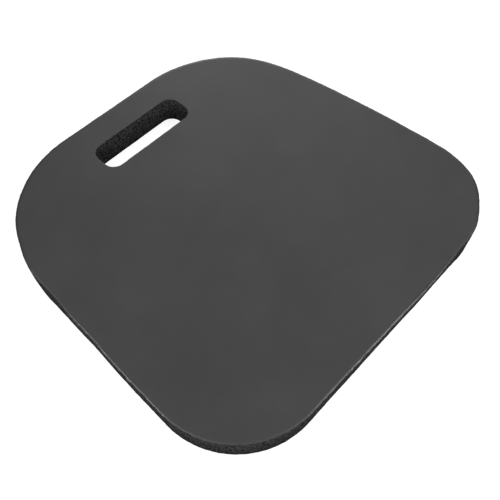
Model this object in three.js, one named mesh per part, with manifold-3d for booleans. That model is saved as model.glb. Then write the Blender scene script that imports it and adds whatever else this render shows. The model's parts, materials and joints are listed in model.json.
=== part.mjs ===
// Kneeling pad: one die-cut slab of closed-cell foam, with a denser smooth skin on its top
// and bottom faces and a hand slot cut through it near the narrower edge.
// Millimetres, +Z up. The origin is the centre of the underside, +Y points towards the
// hand slot and +X across the pad, so the YZ plane is its plane of symmetry.

import * as THREE from "three";
import Module from "manifold-3d";
import { mergeVertices } from "three/addons/utils/BufferGeometryUtils.js";

// Driving dimensions: the slab. Lengths and widths are those of the top face's outline.
const PAD_LENGTH = 316.8; // front edge to back edge, along Y
const FRONT_WIDTH = 333.6; // across the two front corner arcs, the widest place
const BACK_WIDTH = 309; // across the two back corner arcs
const PAD_THICKNESS = 25.4;
const SKIN_THICKNESS = 1.2;

// Driving dimensions: the outline's arcs.
const FRONT_CORNER_RADIUS = 72.5;
const BACK_CORNER_RADIUS = 103.2;
const SIDE_RADIUS = 1583; // the long sides bow out slightly

// Driving dimensions: the hand slot, a rectangle with round corners.
const SLOT_LENGTH = 94; // along X
const SLOT_WIDTH = 29.8; // along Y
const SLOT_CORNER_RADIUS = 10.5;
const GRIP_WIDTH = 27.5; // the bar of foam between the slot and the back edge

// The outer wall leans in towards the underside, and the cutting rolls the skins' edges.
const WALL_LEAN = 2.4;
const EDGE_ROUND = 1.2;
const EDGE_STEPS = 3;
const ARC_DIVISIONS = 8; // three.js makes two segments of each division of an arc

// Worked out from the above.
const HALF_LENGTH = PAD_LENGTH / 2;
const SLOT_CENTRE_Y = HALF_LENGTH - GRIP_WIDTH - SLOT_WIDTH / 2;
const CUTTER_SIDE = 2 * Math.max(PAD_LENGTH, FRONT_WIDTH);
const QUARTER_TURN = Math.PI / 2;

/** The corner arcs of the +X half, and the side arc that is tangent to both of them. */
function rightHandArcs() {
  const frontX = FRONT_WIDTH / 2 - FRONT_CORNER_RADIUS;
  const frontY = FRONT_CORNER_RADIUS - HALF_LENGTH;
  const backX = BACK_WIDTH / 2 - BACK_CORNER_RADIUS;
  const backY = HALF_LENGTH - BACK_CORNER_RADIUS;
  const front = { centre: new THREE.Vector2(frontX, frontY), radius: FRONT_CORNER_RADIUS };
  const back = { centre: new THREE.Vector2(backX, backY), radius: BACK_CORNER_RADIUS };
  // The side arc encloses both corner arcs, so its centre lies SIDE_RADIUS less a corner's
  // radius away from that corner's centre.
  const toFront = SIDE_RADIUS - front.radius;
  const toBack = SIDE_RADIUS - back.radius;
  const along = back.centre.clone().sub(front.centre);
  const apart = along.length();
  along.normalize();
  const across = new THREE.Vector2(-along.y, along.x);
  const foot = (apart ** 2 + toFront ** 2 - toBack ** 2) / (2 * apart);
  const height = Math.sqrt(toFront ** 2 - foot ** 2);
  const centre = front.centre.clone().addScaledVector(along, foot).addScaledVector(across, height);
  return { front, back, side: { centre, radius: SIDE_RADIUS } };
}

/** The direction from one arc's centre to another's, between minus and plus half a turn. */
function direction(from, to) {
  return Math.atan2(to.centre.y - from.centre.y, to.centre.x - from.centre.x);
}

/** Adds one counter-clockwise arc, mirrored to the -X half if asked. */
function addArc(path, arc, start, end, mirrored) {
  const { x, y } = arc.centre;
  if (mirrored) {
    path.absarc(-x, y, arc.radius, Math.PI - end, Math.PI - start, false);
  } else {
    path.absarc(x, y, arc.radius, start, end, false);
  }
}

/** The pad's outline: two straight edges, four corner arcs and two long side arcs. */
function padOutline() {
  const { front, back, side } = rightHandArcs();
  const low = direction(side, front);
  const high = direction(side, back);
  const outline = new THREE.Shape();
  addArc(outline, front, -QUARTER_TURN, low, false);
  addArc(outline, side, low, high, false);
  addArc(outline, back, high, QUARTER_TURN, false);
  addArc(outline, back, high, QUARTER_TURN, true);
  addArc(outline, side, low, high, true);
  addArc(outline, front, -QUARTER_TURN, low, true);
  outline.closePath();
  return outline;
}

/** The hand slot's outline. */
function slotOutline() {
  const x = SLOT_LENGTH / 2 - SLOT_CORNER_RADIUS;
  const y = SLOT_WIDTH / 2 - SLOT_CORNER_RADIUS;
  const corners = [[x, y], [-x, y], [-x, -y], [x, -y]];
  const slot = new THREE.Path();
  corners.forEach(([cornerX, cornerY], turn) => {
    const start = turn * QUARTER_TURN;
    const centreY = SLOT_CENTRE_Y + cornerY;
    slot.absarc(cornerX, centreY, SLOT_CORNER_RADIUS, start, start + QUARTER_TURN, false);
  });
  slot.closePath();
  return slot;
}

/** The slab with its hand slot and upright walls, its edges rolled on both faces. */
function rolledSlab() {
  const outline = padOutline();
  outline.holes.push(slotOutline());
  const geometry = new THREE.ExtrudeGeometry(outline, {
    depth: PAD_THICKNESS - 2 * EDGE_ROUND,
    curveSegments: ARC_DIVISIONS,
    bevelThickness: EDGE_ROUND,
    bevelSize: EDGE_ROUND,
    bevelOffset: -EDGE_ROUND,
    bevelSegments: EDGE_STEPS,
  });
  return geometry.translate(0, 0, EDGE_ROUND);
}

/** A block with the pad's outline at the top face that leans in towards the underside. */
function leaningBlock() {
  // One bevel step is a plain slope up to the top face. What is above that face is upright.
  const geometry = new THREE.ExtrudeGeometry(padOutline(), {
    depth: PAD_THICKNESS,
    curveSegments: ARC_DIVISIONS,
    bevelThickness: PAD_THICKNESS,
    bevelSize: WALL_LEAN,
    bevelOffset: -WALL_LEAN,
    bevelSegments: 1,
  });
  return geometry.translate(0, 0, PAD_THICKNESS);
}

/** A block that holds everything between two heights. */
function layerBlock(bottom, top) {
  const block = new THREE.BoxGeometry(CUTTER_SIDE, CUTTER_SIDE, top - bottom);
  return block.translate(0, 0, (bottom + top) / 2);
}

const manifold = await Module();
manifold.setup();

/** A closed three.js geometry as a solid that can be cut. */
function toSolid(geometry) {
  const bare = geometry.clone();
  bare.deleteAttribute("normal");
  bare.deleteAttribute("uv");
  const merged = mergeVertices(bare);
  return new manifold.Manifold(new manifold.Mesh({
    numProp: 3,
    vertProperties: new Float32Array(merged.attributes.position.array),
    triVerts: new Uint32Array(merged.index.array),
  }));
}

/** A cut solid as a three.js geometry. */
function toGeometry(solid) {
  const mesh = solid.getMesh();
  const geometry = new THREE.BufferGeometry();
  geometry.setAttribute("position", new THREE.BufferAttribute(mesh.vertProperties, 3));
  geometry.setIndex(new THREE.BufferAttribute(mesh.triVerts, 1));
  geometry.computeVertexNormals();
  return geometry;
}

const slab = toSolid(rolledSlab()).intersect(toSolid(leaningBlock()));

/** One layer of the slab, between two heights. */
function layer(name, bottom, top, color, roughness) {
  const solid = slab.intersect(toSolid(layerBlock(bottom, top)));
  const material = new THREE.MeshStandardMaterial({ color, roughness, metalness: 0 });
  const mesh = new THREE.Mesh(toGeometry(solid), material);
  mesh.name = name;
  return mesh;
}

const coreBottom = SKIN_THICKNESS;
const coreTop = PAD_THICKNESS - SKIN_THICKNESS;
const kneelingPad = new THREE.Group();
kneelingPad.add(
  layer("bottom_skin", -PAD_THICKNESS, coreBottom, 0x434343, 0.75),
  layer("foam_core", coreBottom, coreTop, 0x363636, 0.92),
  layer("top_skin", coreTop, 2 * PAD_THICKNESS, 0x484848, 0.7),
);

export default kneelingPad;
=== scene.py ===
"""The looks of a foam kneeling pad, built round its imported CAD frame.

The pad is a slab of charcoal closed-cell foam, cut out with a die. Three pieces stand for
the three CAD layers: the top skin with its turned-down lip, the foam core with the wall that
the die cut, and the bottom skin. Everything is in metres, in the CAD's own frame: +Z up,
the underside on the floor at z = 0, and the hand slot near the +Y edge.
"""

from collections import namedtuple
import json
import math

import bpy
from mathutils import Matrix, Vector, noise
from mathutils.geometry import delaunay_2d_cdt
from mathutils.kdtree import KDTree


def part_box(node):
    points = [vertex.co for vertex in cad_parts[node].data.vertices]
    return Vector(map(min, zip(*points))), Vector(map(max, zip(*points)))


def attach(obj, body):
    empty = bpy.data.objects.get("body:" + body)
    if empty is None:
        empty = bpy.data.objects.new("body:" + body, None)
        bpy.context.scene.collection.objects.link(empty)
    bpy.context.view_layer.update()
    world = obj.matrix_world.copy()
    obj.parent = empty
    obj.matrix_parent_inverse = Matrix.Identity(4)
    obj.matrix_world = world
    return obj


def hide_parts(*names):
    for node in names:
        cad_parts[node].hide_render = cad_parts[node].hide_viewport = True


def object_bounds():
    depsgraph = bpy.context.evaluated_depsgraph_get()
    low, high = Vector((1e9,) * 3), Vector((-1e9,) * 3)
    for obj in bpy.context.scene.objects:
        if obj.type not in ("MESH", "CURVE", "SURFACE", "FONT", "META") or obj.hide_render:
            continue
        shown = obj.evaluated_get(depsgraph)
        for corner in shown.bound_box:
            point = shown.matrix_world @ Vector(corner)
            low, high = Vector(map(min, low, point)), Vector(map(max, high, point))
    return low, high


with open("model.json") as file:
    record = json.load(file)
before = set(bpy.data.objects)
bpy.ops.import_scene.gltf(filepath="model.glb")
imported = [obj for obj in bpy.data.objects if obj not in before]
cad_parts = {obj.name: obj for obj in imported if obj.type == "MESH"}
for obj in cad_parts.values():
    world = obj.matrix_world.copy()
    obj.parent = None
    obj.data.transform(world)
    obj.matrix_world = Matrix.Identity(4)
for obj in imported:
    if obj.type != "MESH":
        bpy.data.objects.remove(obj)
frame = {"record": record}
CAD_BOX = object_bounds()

MM = 0.001
SMOOTH, CUT = 0, 1  # the places of the skin and of the cut foam in a skin piece's materials
RIM_DEPTH = "rim_depth"  # each mesh point's distance in from the pad's outline

# ---------------------------------------------------------------- sizes from the frame

THICKNESS = CAD_BOX[1].z
HALF_WIDTH = CAD_BOX[1].x
HALF_LENGTH = CAD_BOX[1].y
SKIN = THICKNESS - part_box("top_skin")[0].z
OPENINGS = {o["name"]: o["box_m"] for o in frame["record"]["physics"]["openings"]}
OPENING_CLEARANCE = 0.1 * MM  # the openings are stated that far clear of the slot's walls
SLOT_HALF_LENGTH = OPENINGS["hand_slot_full_length"][1][0] + OPENING_CLEARANCE
SLOT_FRONT = OPENINGS["hand_slot_full_width"][0][1] - OPENING_CLEARANCE
SLOT_BACK = OPENINGS["hand_slot_full_width"][1][1] + OPENING_CLEARANCE

# ---------------------------------------------------------------- the outline's own sizes

# The die has let the two sides come out a little differently. Each has two corner circles,
# which touch the front or the back line, and a long arc that is tangent to both.
Side = namedtuple("Side", "front_x front_radius back_x back_radius bow_radius")
RIGHT_SIDE = Side(94.8 * MM, 73.7 * MM, 50.3 * MM, 102.9 * MM, 1140 * MM)
LEFT_SIDE = Side(93.8 * MM, 71.2 * MM, 52.3 * MM, 103.5 * MM, 2585 * MM)
SLOT_SHIFT = 1.0 * MM  # the slot lies that far off the middle
SLOT_CORNER_RADIUS = 10.5 * MM

# Places where the foam has sprung out, or in, since it was cut: the direction from the
# pad's middle in degrees, how far out, and the width of the swelling in degrees.
Spring = namedtuple("Spring", "direction out width")
WALL_SPRINGS = (
    Spring(-178, -0.7 * MM, 6),
    Spring(-56, 0.7 * MM, 4),
    Spring(-48, -0.9 * MM, 5),
    Spring(-38, 1.4 * MM, 6),
    Spring(30, -0.7 * MM, 5),
    Spring(45, 1.0 * MM, 9),
    Spring(146, -1.0 * MM, 5),
    Spring(159, 1.1 * MM, 6),
)

# Places where the top of the wall has drawn back from it, or hangs over it.
LIP_SPRINGS = (
    Spring(162, -1.4 * MM, 8),
    Spring(-130, -1.2 * MM, 25),
    Spring(-78, 0.9 * MM, 8),
    Spring(-58, -2.0 * MM, 5),
)

# How a cut edge is shaped. The lean is how far the cut wall comes in at the underside. The
# lip starts its width in from the wall, and has come down by its drop at the wall.
PAD_LEAN = 2.4 * MM
PAD_LIP_WIDTH = 2.4 * MM
PAD_LIP_DROP = 0.5 * MM
SLOT_LEAN = 0.2 * MM
SLOT_LIP_WIDTH = 0.8 * MM
SLOT_LIP_DROP = 0.06 * MM
WALL_BULGE = 1.8  # over 1, the wall comes in mostly near the underside
LIP_CURVE = 3  # over 1, the face turns down mostly close to the wall
LIP_SMOOTHING = 3  # the wall's relief fades out over the lip's width divided by this
FOOT_RADIUS = 0.7 * MM  # the edge of the underside

# ---------------------------------------------------------------- how fine the meshes are

SHARP_ANGLE = math.radians(50)  # faces that meet at more than this have a hard edge
ARC_STEP = 0.4 * MM  # between the points of an arc, before they are spaced again
OUTLINE_COUNT = 1600
SLOT_COUNT = 350
WALL_ROWS = 36  # on the core's wall
SKIN_WALL_ROWS = 2  # on a skin's wall
ROLL_ROWS = 5  # round the edge of the underside
FACE_STEP = 3.2 * MM
UNDERSIDE_STEP = 4.5 * MM
SLOT_MARGIN = 2 * MM  # only a triangle this close to the slot is tested for lying in it
INSIDE_EDGES = 1  # the triangulation gives back the triangles inside its fixed edges
SAME_PLACE = 1e-7  # points closer than this, in metres, are one point to it
LIP_STEPS = (0.0, 0.05, 0.11, 0.18, 0.26, 0.36, 0.5, 0.7, 1.0)  # shares of the lip's width
SHOULDER_INSETS = (4.2 * MM, 5.6 * MM, 7.6 * MM)
UNDERSIDE_INSETS = (1.6 * MM, 3.0 * MM, 5.5 * MM)


# ---------------------------------------------------------------- outlines

class Edge:
    """One cut edge of the foam: evenly spaced points, and the way out of the foam at each."""

    def __init__(self, points, normals, drawn, lean, lip_width, lip_drop):
        self.points = points
        self.normals = normals
        self.drawn = drawn  # how far the top of the wall has drawn back, at each point
        self.lean = lean
        self.lip_width = lip_width
        self.lip_drop = lip_drop
        self.tree = KDTree(len(points))
        for i, point in enumerate(points):
            self.tree.insert((point.x, point.y, 0), i)
        self.tree.balance()

    def depth(self, place):
        """How far inside the foam a place lies, measured from this edge."""
        i = self.tree.find((place.x, place.y, 0))[1]
        return (self.points[i] - place).dot(self.normals[i])


def on_circle(centre, radius, angle):
    return centre + radius * Vector((math.cos(angle), math.sin(angle)))


def arc_points(centre, radius, start, end):
    """Points along a counter-clockwise arc, both ends included."""
    count = max(2, math.ceil((end - start) * radius / ARC_STEP))
    return [on_circle(centre, radius, start + (end - start) * i / count) for i in range(count + 1)]


def bow_centre(front, front_radius, back, back_radius, radius):
    """Centre of the long side arc that is tangent to a front and a back corner circle."""
    to_front = radius - front_radius
    to_back = radius - back_radius
    along = back - front
    apart = along.length
    along.normalize()
    foot = (apart**2 + to_front**2 - to_back**2) / (2 * apart)
    height = math.sqrt(to_front**2 - foot**2)
    return front + along * foot + Vector((-along.y, along.x)) * height


def half_outline(side):
    """One half of the pad's outline, drawn on the +X side, from the front to the back line."""
    front = Vector((side.front_x, side.front_radius - HALF_LENGTH))
    back = Vector((side.back_x, HALF_LENGTH - side.back_radius))
    bow = bow_centre(front, side.front_radius, back, side.back_radius, side.bow_radius)
    low = math.atan2(front.y - bow.y, front.x - bow.x)
    high = math.atan2(back.y - bow.y, back.x - bow.x)
    return (
        arc_points(front, side.front_radius, -math.pi / 2, low)
        + arc_points(bow, side.bow_radius, low, high)[1:-1]
        + arc_points(back, side.back_radius, high, math.pi / 2)
    )


def even_points(path, count):
    """A closed path's points again, evenly spaced."""
    reached = [0.0]
    for a, b in zip(path, path[1:] + path[:1]):
        reached.append(reached[-1] + (b - a).length)
    spaced = []
    leg = 0
    for i in range(count):
        want = reached[-1] * i / count
        while reached[leg + 1] < want:
            leg += 1
        share = (want - reached[leg]) / (reached[leg + 1] - reached[leg])
        spaced.append(path[leg].lerp(path[(leg + 1) % len(path)], share))
    return spaced


def normals_of(points):
    """The unit normal at each point of a closed counter-clockwise path."""
    normals = []
    for i in range(len(points)):
        along = (points[(i + 1) % len(points)] - points[i - 1]).normalized()
        normals.append(Vector((along.y, -along.x)))
    return normals


def sprung(point, springs):
    """How far out the foam has sprung at a point of the pad's outline."""
    direction = math.degrees(math.atan2(point.y, point.x))
    out = 0
    for spring in springs:
        away = (direction - spring.direction + 180) % 360 - 180
        out += spring.out * math.exp(-((away / spring.width) ** 2))
    return out


def pad_edge():
    """The pad's outline at the top of its wall."""
    right = half_outline(RIGHT_SIDE)
    left = [Vector((-p.x, p.y)) for p in reversed(half_outline(LEFT_SIDE))]
    path = even_points(right + left, OUTLINE_COUNT)
    points = [p + n * sprung(p, WALL_SPRINGS) for p, n in zip(path, normals_of(path))]
    drawn = [-sprung(p, LIP_SPRINGS) for p in points]
    return Edge(points, normals_of(points), drawn, PAD_LEAN, PAD_LIP_WIDTH, PAD_LIP_DROP)


def slot_edge():
    """The hand slot's outline: a long rectangle with round corners."""
    middle = Vector((SLOT_SHIFT, (SLOT_FRONT + SLOT_BACK) / 2))
    x = SLOT_HALF_LENGTH - SLOT_CORNER_RADIUS
    y = (SLOT_BACK - SLOT_FRONT) / 2 - SLOT_CORNER_RADIUS
    path = []
    for quarter, corner in enumerate(((x, y), (-x, y), (-x, -y), (x, -y))):
        start = quarter * math.pi / 2
        path += arc_points(middle + Vector(corner), SLOT_CORNER_RADIUS, start, start + math.pi / 2)
    points = even_points(path, SLOT_COUNT)
    normals = [-n for n in normals_of(points)]
    drawn = [0] * SLOT_COUNT
    return Edge(points, normals, drawn, SLOT_LEAN, SLOT_LIP_WIDTH, SLOT_LIP_DROP)


# ---------------------------------------------------------------- small unevenness

def smooth_noise(x, y, z, wavelength, seed):
    """Smooth noise of about -1 to 1 that varies over the given wavelength."""
    offset = Vector((seed * 17.3, seed * 5.9, seed * 11.1))
    return noise.noise(Vector((x, y, z)) / wavelength + offset)


def edge_wander(point):
    """How far a cut edge strays outwards, because foam gives under the die."""
    broad = smooth_noise(point.x, point.y, 0, 24 * MM, 1)
    narrow = smooth_noise(point.x, point.y, 0, 7 * MM, 2)
    return (0.14 * broad + 0.08 * narrow) * MM


def face_swell(x, y):
    """How far the soft top face rises and falls."""
    broad = smooth_noise(x, y, 0, 90 * MM, 3)
    narrow = smooth_noise(x, y, 0, 22 * MM, 4)
    return (0.14 * broad + 0.04 * narrow) * MM


def underside_swell(x, y):
    """How far the underside stands clear of the floor."""
    return (0.06 + 0.06 * smooth_noise(x, y, 0, 40 * MM, 7)) * MM


def lip_notches(x, y):
    """How far the lip, which the die has torn a little, stands above or below its curve."""
    broad = smooth_noise(x, y, 0, 14 * MM, 8)
    narrow = smooth_noise(x, y, 0, 3.2 * MM, 9)
    return (0.12 * broad + 0.19 * narrow) * MM


def cut_relief(x, y, z):
    """The opened cells of the cut wall, as a distance outwards."""
    coarse = smooth_noise(x, y, z * 0.8, 3.4 * MM, 5)
    cells = smooth_noise(x, y, z, 1.7 * MM, 6)
    return (0.14 * coarse + 0.13 * cells) * MM


# ---------------------------------------------------------------- rings along an edge

def wall_inset(edge, i, z):
    """How far the wall lies in at a height, from its outline, at one of the edge's points."""
    foot = (edge.lean - edge.drawn[i]) * (1 - z / THICKNESS) ** WALL_BULGE
    return edge.drawn[i] + foot


def wall_ring(edge, z, inset=0, cut=1, rise=None):
    """A ring of points on the cut wall at a height, or in from there by an inset. cut is the
    share of the wall's relief that it keeps. rise(x, y) lifts it with a soft face."""
    points = []
    for i, (point, normal) in enumerate(zip(edge.points, edge.normals)):
        out = edge_wander(point) - wall_inset(edge, i, z) - inset
        out += cut * cut_relief(point.x, point.y, z)
        place = point + normal * out
        lift = rise(place.x, place.y) if rise else 0
        points.append(Vector((place.x, place.y, z + lift)))
    return points


def wall_rings(edge, low, high, rows):
    """A stretch of the cut wall, from one height to another."""
    return [wall_ring(edge, low + (high - low) * i / rows) for i in range(rows + 1)]


def lip_rise(step, down, torn):
    """What lifts a ring of the lip: its share of the face's swell, and the torn notches."""
    return lambda x, y: step * face_swell(x, y) + torn * down * lip_notches(x, y)


def foot_rise(share):
    """What lifts a ring of the underside's edge, some share of the way round it."""
    return lambda x, y: (1 - share) * underside_swell(x, y)


def top_rings(edge):
    """The top skin from the core, up its cut wall and over the lip to the face."""
    torn = min(1, edge.lip_drop / PAD_LIP_DROP)
    rings = wall_rings(edge, THICKNESS - SKIN, THICKNESS - 2 * edge.lip_drop, SKIN_WALL_ROWS - 1)
    for step in LIP_STEPS:
        down = (1 - step) ** LIP_CURVE
        z = THICKNESS - edge.lip_drop * down
        cut = max(0, 1 - LIP_SMOOTHING * step)
        rise = lip_rise(step, down, torn)
        rings.append(wall_ring(edge, z, step * edge.lip_width, cut, rise))
    for inset in SHOULDER_INSETS:
        rings.append(wall_ring(edge, THICKNESS, inset, 0, face_swell))
    return rings


def bottom_rings(edge):
    """The bottom skin from the underside, round its edge and up its cut wall to the core."""
    rings = [wall_ring(edge, 0, i, 0, underside_swell) for i in reversed(UNDERSIDE_INSETS)]
    for i in range(ROLL_ROWS):
        turn = math.pi / 2 * i / ROLL_ROWS
        share = i / ROLL_ROWS
        z = FOOT_RADIUS * (1 - math.cos(turn))
        inset = FOOT_RADIUS * (1 - math.sin(turn))
        rings.append(wall_ring(edge, z, inset, share, foot_rise(share)))
    return rings + wall_rings(edge, FOOT_RADIUS, SKIN, SKIN_WALL_ROWS)


# ---------------------------------------------------------------- meshes

class Shell:
    """The points and faces of one closed piece in the making."""

    def __init__(self):
        self.points = []
        self.faces = []
        self.finishes = []  # each face's place in the piece's list of materials

    def add_band(self, rings, outer, cut_rows=()):
        """Joins rings, lowest first on the wall, into a band. Returns the two end rings.
        The rows of faces in cut_rows are the die's cut, and the others are skin."""
        loops = []
        for row in rings:
            loops.append(list(range(len(self.points), len(self.points) + len(row))))
            self.points += row
        for row, (lower, upper) in enumerate(zip(loops, loops[1:])):
            for i in range(len(lower)):
                quad = (lower[i - 1], lower[i], upper[i], upper[i - 1])
                self.faces.append(quad if outer else quad[::-1])
                self.finishes.append(CUT if row in cut_rows else SMOOTH)
        return loops[0], loops[-1]

    def add_face(self, outline, slot, up, height, step=None, margin=0):
        """Fills the foam between an outline ring and a slot ring, facing up or down.
        height gives the face's z at a place, and step the distance between its points."""
        border = outline + slot
        places = [self.points[i].xy for i in border]
        filling = face_places(step, margin) if step else []
        edges = loop_edges(0, len(outline)) + loop_edges(len(outline), len(slot))
        found = delaunay_2d_cdt(places + filling, edges, [], INSIDE_EDGES, SAME_PLACE)
        index = []
        for place, origins in zip(found[0], found[3]):
            if origins and origins[0] < len(border):
                index.append(border[origins[0]])
            else:
                index.append(len(self.points))
                self.points.append(Vector((place.x, place.y, height(place.x, place.y))))
        hole = places[len(outline):]
        for face in found[2]:
            middle = sum((found[0][i] for i in face), Vector((0, 0))) / len(face)
            by_slot = SLOT.depth(middle) < margin + SLOT_MARGIN
            if not (by_slot and inside(middle, hole)):
                corners = [index[i] for i in face]
                self.faces.append(corners if up else corners[::-1])
                self.finishes.append(SMOOTH)

    def to_object(self, name):
        """The piece itself, with each point's depth in from the pad's outline kept on it."""
        mesh = bpy.data.meshes.new(name)
        mesh.from_pydata([tuple(p) for p in self.points], [], self.faces)
        mesh.polygons.foreach_set("use_smooth", [True] * len(mesh.polygons))
        mesh.polygons.foreach_set("material_index", self.finishes)
        mesh.set_sharp_from_angle(angle=SHARP_ANGLE)
        depths = [PAD.depth(p.xy) for p in self.points]
        mesh.attributes.new(RIM_DEPTH, "FLOAT", "POINT").data.foreach_set("value", depths)
        mesh.update()
        piece = bpy.data.objects.new(name, mesh)
        bpy.context.scene.collection.objects.link(piece)
        return piece


def inside(place, loop):
    """Whether a place lies inside a closed loop of points."""
    crossings = 0
    for a, b in zip(loop, loop[1:] + loop[:1]):
        if (a.y > place.y) != (b.y > place.y):
            crossings += place.x < a.x + (place.y - a.y) / (b.y - a.y) * (b.x - a.x)
    return crossings % 2 == 1


def loop_edges(first, count):
    """The edges of a closed loop of numbered points."""
    return [(first + i, first + (i + 1) % count) for i in range(count)]


def face_places(step, margin):
    """Places all over the foam in a triangular grid, clear of both edges by a margin."""
    places = []
    row_step = step * math.sqrt(3) / 2
    rows = int(HALF_LENGTH / row_step)
    columns = int(HALF_WIDTH / step) + 2
    for row in range(-rows, rows + 1):
        for column in range(-columns, columns + 1):
            place = Vector(((column + row % 2 / 2) * step, row * row_step))
            if min(PAD.depth(place), SLOT.depth(place)) > margin + step / 2:
                places.append(place)
    return places


def level(z):
    """A flat face's height, the same everywhere."""
    return lambda x, y: z


def make_top_skin():
    """The kneeling face, with its crisp lip round the outline and round the slot."""
    shell = Shell()
    cut = range(SKIN_WALL_ROWS)
    pad_joint, pad_face = shell.add_band(top_rings(PAD), True, cut)
    slot_joint, slot_face = shell.add_band(top_rings(SLOT), False, cut)
    shell.add_face(pad_joint, slot_joint, False, level(THICKNESS - SKIN))
    margin = SHOULDER_INSETS[-1]
    height = lambda x, y: THICKNESS + face_swell(x, y)
    shell.add_face(pad_face, slot_face, True, height, FACE_STEP, margin)
    return shell.to_object("pad_top_skin")


def make_foam_core():
    """The foam between the skins, with the cut wall of the outline and of the slot."""
    shell = Shell()
    rings = {edge: wall_rings(edge, SKIN, THICKNESS - SKIN, WALL_ROWS) for edge in (PAD, SLOT)}
    pad_low, pad_high = shell.add_band(rings[PAD], True)
    slot_low, slot_high = shell.add_band(rings[SLOT], False)
    shell.add_face(pad_low, slot_low, False, level(SKIN))
    shell.add_face(pad_high, slot_high, True, level(THICKNESS - SKIN))
    return shell.to_object("pad_foam_core")


def make_bottom_skin():
    """The underside, with the tighter edge that lies on the ground."""
    shell = Shell()
    first_cut = len(UNDERSIDE_INSETS)
    cut = range(first_cut, first_cut + ROLL_ROWS + SKIN_WALL_ROWS)
    pad_face, pad_joint = shell.add_band(bottom_rings(PAD), True, cut)
    slot_face, slot_joint = shell.add_band(bottom_rings(SLOT), False, cut)
    margin = UNDERSIDE_INSETS[-1] + PAD.lean
    shell.add_face(pad_face, slot_face, False, underside_swell, UNDERSIDE_STEP, margin)
    shell.add_face(pad_joint, slot_joint, True, level(SKIN))
    return shell.to_object("pad_bottom_skin")


# ---------------------------------------------------------------- materials

NOISE_SPAN = (0.3, 0.7)  # most of a noise's values lie between these
RELIEF_SPAN = (0.55, 0.88)  # the cut foam goes from its darkest to its lightest over this
BLOTCH_SIZE = 45 * MM
GRAIN_SIZE = 0.7 * MM
PORE_SIZE = 0.55 * MM
CLUMP_SIZE = 1.5 * MM
CELL_SIZE = 0.8 * MM
FIBRE_SIZE = 60 * MM
TOP_SKIN_BRIGHTNESS = 0.0264
BOTTOM_SKIN_BRIGHTNESS = 0.025
CUT_BRIGHTNESS = 0.0196
FLOOR_GLOW = 0.84


class Nodes:
    """A material's node tree, with short calls for what the foam needs."""

    def __init__(self, name):
        self.material = bpy.data.materials.new(name)
        self.material.use_nodes = True
        self.tree = self.material.node_tree
        self.shader = self.tree.nodes["Principled BSDF"]
        self.place = self.add("ShaderNodeTexCoord").outputs["Object"]

    def add(self, kind, **settings):
        node = self.tree.nodes.new(kind)
        for name, value in settings.items():
            setattr(node, name, value)
        return node

    def put(self, socket, value):
        """Sets a socket to a number or colour, or links it to another socket."""
        if isinstance(value, bpy.types.NodeSocket):
            self.tree.links.new(value, socket)
        else:
            socket.default_value = value

    def noise(self, size, detail=2.0):
        """Noise with lumps of a size in metres, from 0 to 1."""
        node = self.add("ShaderNodeTexNoise")
        self.put(node.inputs["Vector"], self.place)
        self.put(node.inputs["Scale"], 1 / size)
        self.put(node.inputs["Detail"], detail)
        return node.outputs["Fac"]

    def cells(self, size):
        """The distance from the middle of the nearest cell: 0 in its middle, over 0.5 at its wall."""
        node = self.add("ShaderNodeTexVoronoi")
        self.put(node.inputs["Vector"], self.place)
        self.put(node.inputs["Scale"], 1 / size)
        return node.outputs["Distance"]

    def rim_depth(self):
        """The distance in from the pad's outline, in metres."""
        return self.add("ShaderNodeAttribute", attribute_name=RIM_DEPTH).outputs["Fac"]

    def height(self):
        """The height over the floor, in metres."""
        node = self.add("ShaderNodeSeparateXYZ")
        self.put(node.inputs[0], self.place)
        return node.outputs["Z"]

    def remap(self, value, low, high, to_low, to_high):
        """A value that goes from low to high, made to go between two others instead."""
        node = self.add("ShaderNodeMapRange")
        for socket, given in zip(node.inputs, (value, low, high, to_low, to_high)):
            self.put(socket, given)
        return node.outputs["Result"]

    def math(self, operation, a, b):
        node = self.add("ShaderNodeMath", operation=operation)
        self.put(node.inputs[0], a)
        self.put(node.inputs[1], b)
        return node.outputs[0]

    def grey(self, value):
        """A neutral colour from a brightness."""
        node = self.add("ShaderNodeCombineColor")
        for channel in node.inputs:
            self.put(channel, value)
        return node.outputs[0]

    def bump(self, height, depth, normal=None):
        """Relief of a depth in metres, for a height that goes from 0 to 1."""
        node = self.add("ShaderNodeBump")
        self.put(node.inputs["Height"], height)
        self.put(node.inputs["Distance"], depth)
        if normal:
            self.put(node.inputs["Normal"], normal)
        return node.outputs["Normal"]


def skin_material(name, brightness):
    """The foam's smooth skin: charcoal, matte, with a fine even grain and faint blotches,
    and shinier along the pad's rim, where the die has pressed it."""
    nodes = Nodes(name)
    blotches = nodes.noise(BLOTCH_SIZE, 3.0)
    grain = nodes.noise(GRAIN_SIZE, 3.0)
    pores = nodes.cells(PORE_SIZE)
    tone = nodes.remap(blotches, *NOISE_SPAN, 0.88 * brightness, 1.12 * brightness)
    speckle = nodes.remap(grain, *NOISE_SPAN, 0.90, 1.10)
    nodes.put(nodes.shader.inputs["Base Color"], nodes.grey(nodes.math("MULTIPLY", tone, speckle)))
    rough = nodes.remap(grain, *NOISE_SPAN, 0.53, 0.63)
    pressed = nodes.remap(nodes.rim_depth(), 0.8 * MM, 3.0 * MM, 0.50, 1.0)
    nodes.put(nodes.shader.inputs["Roughness"], nodes.math("MULTIPLY", rough, pressed))
    relief = nodes.bump(pores, 0.02 * MM)
    relief = nodes.bump(grain, 0.05 * MM, relief)
    nodes.put(nodes.shader.inputs["Normal"], relief)
    nodes.put(nodes.shader.inputs["Specular IOR Level"], 0.5)
    return nodes.material


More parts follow.
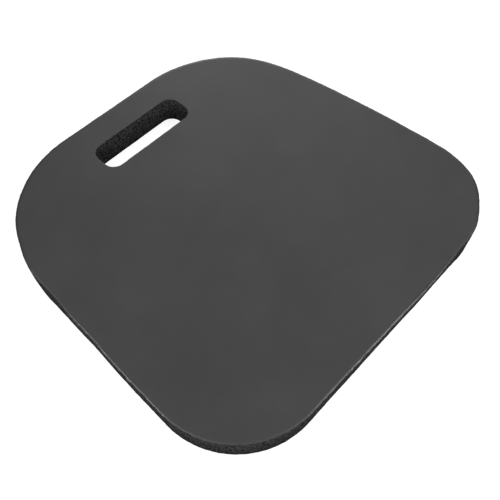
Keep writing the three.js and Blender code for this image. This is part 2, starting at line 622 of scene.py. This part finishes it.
def cut_foam_material(name, brightness):
    """The die's cut through the cells: dull, and darker in the opened cells than on their walls.
    Its colour is darkened towards the underside and most at the foot of the cut: painted shade and a
    painted contact shadow."""
    nodes = Nodes(name)
    clumps = nodes.noise(CLUMP_SIZE, 1.0)
    cells = nodes.cells(CELL_SIZE)
    relief = nodes.math("ADD", clumps, nodes.math("MULTIPLY", cells, 0.45))
    tone = nodes.remap(relief, *RELIEF_SPAN, 0.15 * brightness, 2.0 * brightness)
    # painted shade: the wall's colour darkens from its top down to the underside
    painted_wall_shade = nodes.remap(nodes.height(), 0, THICKNESS, 0.66, 1.3)
    # painted contact shadow: the lowest few millimetres of the wall are darkened further
    foot = nodes.remap(nodes.height(), 0.5 * MM, 3.5 * MM, 0.35, 1.0)
    shade = nodes.math("MULTIPLY", painted_wall_shade, foot)
    nodes.put(nodes.shader.inputs["Base Color"], nodes.grey(nodes.math("MULTIPLY", tone, shade)))
    nodes.put(nodes.shader.inputs["Roughness"], nodes.remap(relief, *RELIEF_SPAN, 0.95, 0.80))
    nodes.put(nodes.shader.inputs["Normal"], nodes.bump(relief, 0.5 * MM))
    nodes.put(nodes.shader.inputs["Specular IOR Level"], 0)
    return nodes.material


def floor_material():
    """White paper that glows a little, so that it keeps no shadow."""
    nodes = Nodes("white_floor")
    fibres = nodes.noise(FIBRE_SIZE)
    tone = nodes.remap(fibres, *NOISE_SPAN, 0.26, 0.30)
    nodes.put(nodes.shader.inputs["Base Color"], nodes.grey(tone))
    nodes.put(nodes.shader.inputs["Roughness"], 0.9)
    nodes.put(nodes.shader.inputs["Emission Color"], (1, 1, 1, 1))
    nodes.put(nodes.shader.inputs["Emission Strength"], FLOOR_GLOW)
    return nodes.material


# ---------------------------------------------------------------- studio

CAMERA_LENS = 49.16  # on Blender's 36 mm sensor
CAMERA_AZIMUTH = math.radians(-48.84)
CAMERA_ELEVATION = math.radians(56.46)
CAMERA_ROLL = math.radians(1.75)
CAMERA_DISTANCE = 548.6 * MM
CAMERA_AIM = Vector((-19.7 * MM, -31.6 * MM, THICKNESS / 2))
CAMERA_NEAREST = 10 * MM
FLOOR_REACH = 6.0
FLOOR_DROP = 0.2 * MM  # how far the floor lies below the underside
SOFTBOX_SIZE = 0.5
SOFTBOX_DISTANCE = 1.6
WORLD_STRENGTH = 0.15


def make_camera():
    """The camera, front-left of the pad and high above it."""
    camera = bpy.data.objects.new("camera", bpy.data.cameras.new("camera"))
    camera.data.lens = CAMERA_LENS
    camera.data.clip_start = CAMERA_NEAREST
    back = Vector((
        math.sin(CAMERA_AZIMUTH) * math.cos(CAMERA_ELEVATION),
        -math.cos(CAMERA_AZIMUTH) * math.cos(CAMERA_ELEVATION),
        math.sin(CAMERA_ELEVATION),
    ))
    turn = back.to_track_quat("Z", "Y").to_matrix().to_4x4()
    place = Matrix.Translation(CAMERA_AIM + back * CAMERA_DISTANCE)
    camera.matrix_world = place @ turn @ Matrix.Rotation(CAMERA_ROLL, 4, "Z")
    bpy.context.scene.collection.objects.link(camera)
    bpy.context.scene.camera = camera


def make_floor():
    """A pale floor just under the pad, much wider than it."""
    signs = ((-1, -1), (1, -1), (1, 1), (-1, 1))
    corners = [(x * FLOOR_REACH, y * FLOOR_REACH, -FLOOR_DROP) for x, y in signs]
    mesh = bpy.data.meshes.new("floor")
    mesh.from_pydata(corners, [], [(0, 1, 2, 3)])
    mesh.materials.append(floor_material())
    floor = bpy.data.objects.new("floor", mesh)
    bpy.context.scene.collection.objects.link(floor)


def make_softbox(name, azimuth, elevation, power, mirrored=True):
    """A soft square light that faces the pad, in a direction given in degrees: round from
    +X, and up from the floor. The power is in watts. One that is not mirrored leaves no
    glare on the foam."""
    light = bpy.data.lights.new(name, "AREA")
    light.shape = "SQUARE"
    light.size = SOFTBOX_SIZE
    light.energy = power
    softbox = bpy.data.objects.new(name, light)
    rise = math.radians(elevation)
    way = Vector((math.cos(rise), 0, math.sin(rise)))
    way.rotate(Matrix.Rotation(math.radians(azimuth), 3, "Z"))
    softbox.location = way * SOFTBOX_DISTANCE
    softbox.rotation_euler = way.to_track_quat("Z", "Y").to_euler()
    softbox.visible_camera = False
    softbox.visible_glossy = mirrored
    bpy.context.scene.collection.objects.link(softbox)


def make_world():
    """Even white light from all round."""
    world = bpy.data.worlds.new("studio")
    world.use_nodes = True
    background = world.node_tree.nodes["Background"]
    background.inputs["Color"].default_value = (1, 1, 1, 1)
    background.inputs["Strength"].default_value = WORLD_STRENGTH
    bpy.context.scene.world = world


def make_lights():
    """Two lights beyond the pad, one along each near side for its lip, and three on the
    camera's side: a low one for the near walls, and two for the near corner's lip."""
    make_softbox("back_softbox", 48, 29, 5.8)
    make_softbox("right_softbox", 20, 35, 2.4)
    make_softbox("left_softbox", 144, 55, 7.2)
    make_softbox("front_softbox", -54, 54, 10.4)
    make_softbox("near_softbox", -135, 20, 15.0, mirrored=False)
    make_softbox("near_high_softbox", -137, 52, 1.8)
    make_softbox("near_left_softbox", -174, 58, 3.0)


# ---------------------------------------------------------------- the pad

PAD = pad_edge()
SLOT = slot_edge()


def finish_piece(piece, node, *materials):
    """Gives a piece its materials, and puts it in the place of its CAD layer."""
    for material in materials:
        piece.data.materials.append(material)
    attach(piece, "root")
    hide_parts(node)


make_camera()
cut_foam = cut_foam_material("cut_foam", CUT_BRIGHTNESS)
top_skin_foam = skin_material("top_skin_foam", TOP_SKIN_BRIGHTNESS)
bottom_skin_foam = skin_material("bottom_skin_foam", BOTTOM_SKIN_BRIGHTNESS)
finish_piece(make_top_skin(), "top_skin", top_skin_foam, cut_foam)
finish_piece(make_foam_core(), "foam_core", cut_foam)
finish_piece(make_bottom_skin(), "bottom_skin", bottom_skin_foam, cut_foam)
make_floor()
make_world()
make_lights()
bpy.context.scene.view_settings.view_transform = "Standard"
